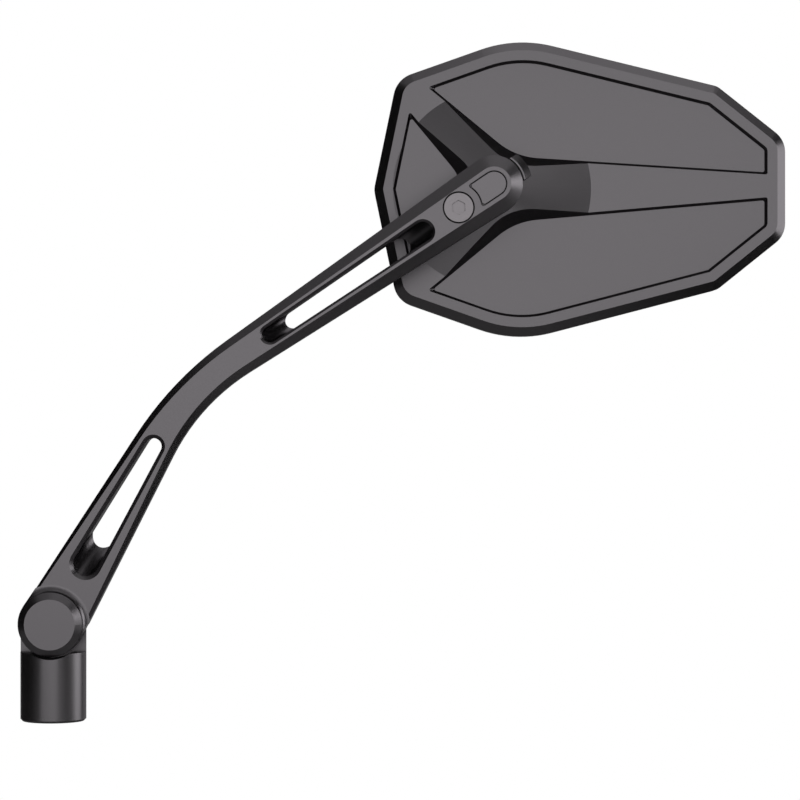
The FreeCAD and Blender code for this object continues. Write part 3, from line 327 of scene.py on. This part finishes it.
def make_thread():
    """A helical ridge on the wall of the handlebar hole, for the M10 stud."""
    bm = bmesh.new()
    half = FOOT_SHARE * THREAD_PITCH
    wall = THREAD_RADIUS + THREAD_SINK
    crest = THREAD_RADIUS - THREAD_RIDGE
    bm.faces.new([bm.verts.new(place) for place in (
        (wall, 0, THREAD_START - half), (wall, 0, THREAD_START + half),
        (crest, 0, THREAD_START + CREST_SHARE * half),
        (crest, 0, THREAD_START - CREST_SHARE * half))])
    bmesh.ops.spin(bm, geom=bm.verts[:] + bm.edges[:] + bm.faces[:], cent=(0, 0, 0),
                   axis=(0, 0, 1), dvec=(0, 0, THREAD_PITCH / STEPS_A_TURN),
                   angle=THREAD_TURNS * math.tau, steps=THREAD_TURNS * STEPS_A_TURN,
                   use_merge=False, use_duplicate=False)
    bmesh.ops.recalc_face_normals(bm, faces=bm.faces)
    thread = mesh_object("base_thread", bm, post_black)
    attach(thread, "base")


make_thread()


# Studio

FLOOR_RADIUS = 0.7
FLOOR_PLACE = (0.108, 0, -0.13)
FILL_LEVEL = 0.7
SUBJECT = (0.1, 0, 0.1)

# Planes that the panels stand in, the lowest edge of the tall ones, and the tone of the black ones
LEFT, RIGHT = -0.6, 0.85
FRONT, BACK = -0.95, 0.9
TOP, UNDER = 0.9, -0.12
FOOT = -0.9
DARK = 0.008

# How a panel's tone changes: the axis, the two places on it, and the tone past the second
TO_WHITE = ("Y", 0.25, 0.6, 1.0)
TO_WHITE_LATE = ("Y", 0.5, 0.9, 1.0)

# Each panel's name, the two corners it spans, its tone, where 1 is white, and how that changes
PANELS = (
    # On the left and above
    ("panel_left", (LEFT, -0.8, FOOT), (LEFT, 1.3, TOP), DARK, ("Y", 0.7, 1.3, 1.0)),
    ("panel_top_left", (LEFT, FRONT, TOP), (-0.06, 0.6, TOP), 0.26, TO_WHITE),
    ("panel_top", (-0.06, FRONT, TOP), (0.5, 0.6, TOP), 0.28, ("Y", -0.3, 0.08, 0.92)),
    ("panel_top_right", (0.5, FRONT, TOP), (RIGHT, 0.6, TOP), 0.45, TO_WHITE),
    # On the right: a bright window in a black surround
    ("panel_right_front", (RIGHT, FRONT, FOOT), (RIGHT, -0.36, TOP), DARK, TO_WHITE),
    ("panel_right_foot", (RIGHT, -0.36, FOOT), (RIGHT, -0.06, 0.1), DARK,
     ("Y", -0.34, -0.06, 1.0)),
    ("panel_right_mid", (RIGHT, -0.36, 0.1), (RIGHT, -0.06, 0.45), 0.6, ("Z", 0.1, 0.15, 2.4)),
    ("panel_right", (RIGHT, -0.06, -0.15), (RIGHT, 0.45, 0.45), 2.15, ("Y", 0.3, 0.45, 1.0)),
    ("panel_right_high", (RIGHT, -0.36, 0.45), (RIGHT, BACK, TOP), DARK, TO_WHITE_LATE),
    ("panel_right_low", (RIGHT, -0.06, FOOT), (RIGHT, BACK, -0.15), DARK, TO_WHITE_LATE),
    # A black card beside the base, then the cards in front and behind
    ("panel_base", (0.25, 0.13, -0.06), (0.25, 0.24, 0.07), DARK, TO_WHITE),
    ("panel_low_front", (0.36, FRONT, -0.16), (RIGHT, FRONT, 0.07), DARK, TO_WHITE),
    ("panel_top_front", (LEFT, FRONT, 0.48), (0.5, FRONT, TOP), 0.35, TO_WHITE),
    ("panel_back", (-0.55, BACK, UNDER), (0.75, BACK, 0.5), 1.0, ("Z", -0.12, 0.1, 0.04)),
    ("panel_low_left", (LEFT, FRONT, FOOT), (0.3, FRONT, -0.08), 0.45, TO_WHITE),
    # Just above the floor
    ("panel_under", (LEFT, -0.5, UNDER), (0.27, 0.1, UNDER), 0.4, ("Y", -0.3, -0.1, 0.15)),
    ("panel_under_back", (LEFT, 0.1, UNDER), (0.27, 0.5, UNDER), 0.15, ("Y", 0.15, 0.5, 0.8)),
    ("panel_under_right", (0.27, -0.5, UNDER), (RIGHT, 0.1, UNDER), 0.5,
     ("Y", -0.3, -0.1, DARK)),
    ("panel_under_right_back", (0.27, 0.1, UNDER), (RIGHT, 0.6, UNDER), DARK,
     ("Y", 0.25, 0.6, 0.8)),
)


def plain_material(name, colour):
    """One dull tone, for the floor."""
    material, tree, surface = new_finish(name)
    set_inputs(tree, surface, {
        "Base Color": (*colour, 1), "Roughness": 0.9, "Specular IOR Level": 0.0})
    return material


def make_floor():
    """A round pale table top, far enough below the part to stay out of the picture."""
    bm = bmesh.new()
    bmesh.ops.create_circle(bm, cap_ends=True, segments=96, radius=FLOOR_RADIUS)
    bmesh.ops.translate(bm, verts=bm.verts, vec=FLOOR_PLACE)
    floor = mesh_object("floor", bm, plain_material("pale_floor", (0.8, 0.8, 0.8)))


def glow_material(name, level, fade):
    """A tone that other light doesn't change. It fades to another between two places."""
    axis, start, end, far_level = fade
    material = bpy.data.materials.new(name)
    material.use_nodes = True
    tree = material.node_tree
    tree.nodes.clear()
    place = put(tree, "ShaderNodeSeparateXYZ", {"Vector": object_place(tree)})
    strength = put(tree, "ShaderNodeMapRange", {
        "Value": place.outputs[axis], "From Min": start, "From Max": end,
        "To Min": level, "To Max": far_level},
        interpolation_type="SMOOTHSTEP").outputs["Result"]
    tone = put(tree, "ShaderNodeEmission", {"Color": WHITE, "Strength": strength})
    put(tree, "ShaderNodeOutputMaterial", {"Surface": tone.outputs[0]})
    return material


def make_panel(name, low, high, level, fade):
    """A thin flat panel between two corners that share one coordinate."""
    low, high = Vector(low), Vector(high)
    size = high - low
    bm = bmesh.new()
    bmesh.ops.create_cube(bm, size=1.0)
    bmesh.ops.transform(
        bm, verts=bm.verts, matrix=Matrix.Translation((low + high) / 2) @ Matrix.Diagonal(
            (max(size.x, MM), max(size.y, MM), max(size.z, MM), 1)))
    panel = mesh_object(name, bm, glow_material(name, level, fade))
    # Seen only in what the metal and the glass reflect
    panel.visible_camera = False
    panel.visible_diffuse = False
    panel.visible_shadow = False


def area_light(name, place, width, height, brightness, reflected=False):
    """A rectangular lamp that faces the part, as bright at any size."""
    lamp = bpy.data.lights.new(name, "AREA")
    lamp.shape = "RECTANGLE"
    lamp.size = width
    lamp.size_y = height
    lamp.energy = brightness * math.pi * width * height
    light = bpy.data.objects.new(name, lamp)
    scene.collection.objects.link(light)
    light.location = place
    facing = Vector(SUBJECT) - Vector(place)
    light.rotation_euler = facing.to_track_quat("-Z", "Y").to_euler()
    light.visible_glossy = reflected


def make_world():
    """White where the picture and the reflections show it, and a plain soft fill elsewhere."""
    world = bpy.data.worlds.new("studio")
    scene.world = world
    world.use_nodes = True
    # Found by the reflected rays alone, so that no panel lets its light through
    world.cycles.sampling_method = "NONE"
    tree = world.node_tree
    tree.nodes.clear()
    path = put(tree, "ShaderNodeLightPath").outputs
    seen = math_node(tree, "MAXIMUM", path["Is Camera Ray"], path["Is Glossy Ray"])
    seen = math_node(tree, "MAXIMUM", seen, path["Is Transmission Ray"])
    fill = put(tree, "ShaderNodeBackground", {"Color": WHITE, "Strength": FILL_LEVEL})
    white = put(tree, "ShaderNodeBackground", {"Color": WHITE, "Strength": 1.0})
    both = put(tree, "ShaderNodeMixShader", {0: seen, 1: fill.outputs[0], 2: white.outputs[0]})
    put(tree, "ShaderNodeOutputWorld", {"Surface": both.outputs[0]})


make_floor()
for panel_row in PANELS:
    make_panel(*panel_row)
make_world()
area_light("key", (0.25, -2.2, 0.55), width=1.4, height=1.4, brightness=0.22, reflected=True)
area_light("overhead", (0.1, -0.2, 1.6), width=1.0, height=1.0, brightness=1.0)


# Camera

# It stands level with the middle of the arm and looks straight at the front
CAMERA_PLACE = (0.1083, -0.9375, 0.1001)
CAMERA_LENS = 135.0
CAMERA_SENSOR = 36.0


def make_camera():
    data = bpy.data.cameras.new("camera")
    data.lens = CAMERA_LENS
    data.sensor_width = CAMERA_SENSOR
    camera = bpy.data.objects.new("camera", data)
    scene.collection.objects.link(camera)
    camera.location = CAMERA_PLACE
    camera.rotation_euler = (math.radians(90), 0, 0)
    scene.camera = camera


make_camera()
scene.view_settings.view_transform = "Standard"
